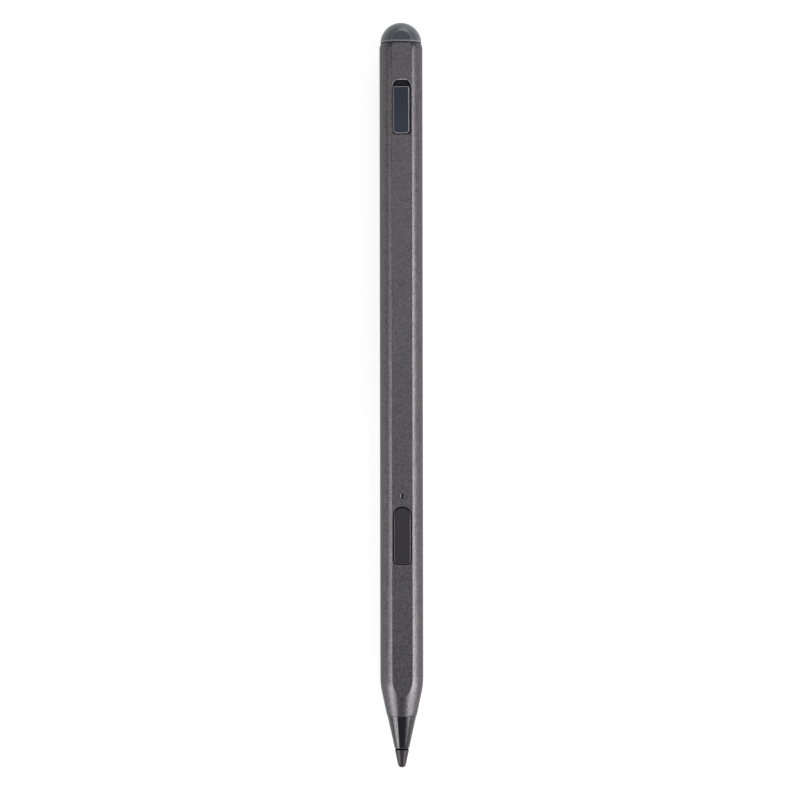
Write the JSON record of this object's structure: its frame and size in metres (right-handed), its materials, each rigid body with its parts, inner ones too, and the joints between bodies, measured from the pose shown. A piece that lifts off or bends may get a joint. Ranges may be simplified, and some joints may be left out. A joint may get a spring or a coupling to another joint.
{
  "type": "stylus pen",
  "caption": "Active stylus pen: round metal barrel with one flat, replaceable nib, side button, covered charging port and domed tail button",
  "frame": {"origin": "middle of the pen's length, on the surface that its round back lies on", "axes": "+X along the barrel from nib to tail, +Z out of the flat that carries the buttons"},
  "size_m": [0.1644, 0.0094, 0.0089],
  "materials": {
    "barrel_finish": "dark grey metallic paint, satin, fine sparkle",
    "nose_gloss": "polished black",
    "nib_plastic": "dense dark grey, lightly worn point",
    "cap_plastic": "satin blue-grey",
    "button_plastic": "satin charcoal",
    "cover_plastic": "satin slate",
    "clear_pipe": "smoky clear",
    "brass_sleeve": "bright turned",
    "natural_plastic": "natural white, moulded",
    "frame_plastic": "black glass-filled, moulded",
    "steel_bright": "bright",
    "nickel": "nickel plate",
    "board_green": "solder mask",
    "chip_black": "moulded epoxy",
    "cell_wrap": "film-wrapped can",
    "flex_film": "amber film"
  },
  "bodies": {
    "barrel": {"barrel": "barrel_finish", "nose_cone": "nose_gloss", "tilt_electrode": "brass_sleeve", "nib_spring": "steel_bright", "sensor_housing": "frame_plastic", "pressure_sensor": "natural_plastic", "front_frame": "frame_plastic", "main_board": "board_green", "controller_chip": "chip_black", "radio_module": "nickel", "side_switch": "nickel", "indicator_led": "clear_pipe", "light_pipe": "clear_pipe", "battery": "cell_wrap", "battery_tabs": "nickel", "holding_magnets": "nickel", "rear_frame": "frame_plastic", "flex_cable": "flex_film", "usb_board": "board_green", "usb_shell": "steel_bright", "usb_tongue": "chip_black", "port_bezel": "frame_plastic", "cover_hinge_pin": "steel_bright", "tail_board": "board_green", "tail_switch": "nickel", "tail_bush": "frame_plastic"},
    "plunger": {"nib_plunger": "natural_plastic"},
    "nib": {"nib": "nib_plastic"},
    "side_button": {"side_button": "button_plastic", "side_switch_plunger": "natural_plastic"},
    "tail_button": {"tail_cap": "cap_plastic", "tail_stem": "natural_plastic", "tail_switch_plunger": "natural_plastic"},
    "port_cover": {"port_cover": "cover_plastic"}
  },
  "joints": [
    {"name": "nib_press", "type": "slide", "parent": "barrel", "child": "plunger", "axis": [1, 0, 0], "range_m": [0, 0.0003], "stiffness_N_per_m": 800, "deforming": ["nib_spring"]},
    {"name": "nib_pull", "type": "slide", "parent": "plunger", "child": "nib", "axis": [-1, 0, 0], "range_m": [0, 0.012]},
    {"name": "button_press", "type": "slide", "parent": "barrel", "child": "side_button", "axis": [0, 0, -1], "range_m": [0, 0.00022], "stiffness_N_per_m": 600},
    {"name": "tail_press", "type": "slide", "parent": "barrel", "child": "tail_button", "axis": [-1, 0, 0], "range_m": [0, 0.00022], "stiffness_N_per_m": 600},
    {"name": "cover_swing", "type": "hinge", "parent": "barrel", "child": "port_cover", "pos_m": [0.05793, 0, 0.00835], "axis": [0, -1, 0], "range_deg": [0, 95]}
  ]
}
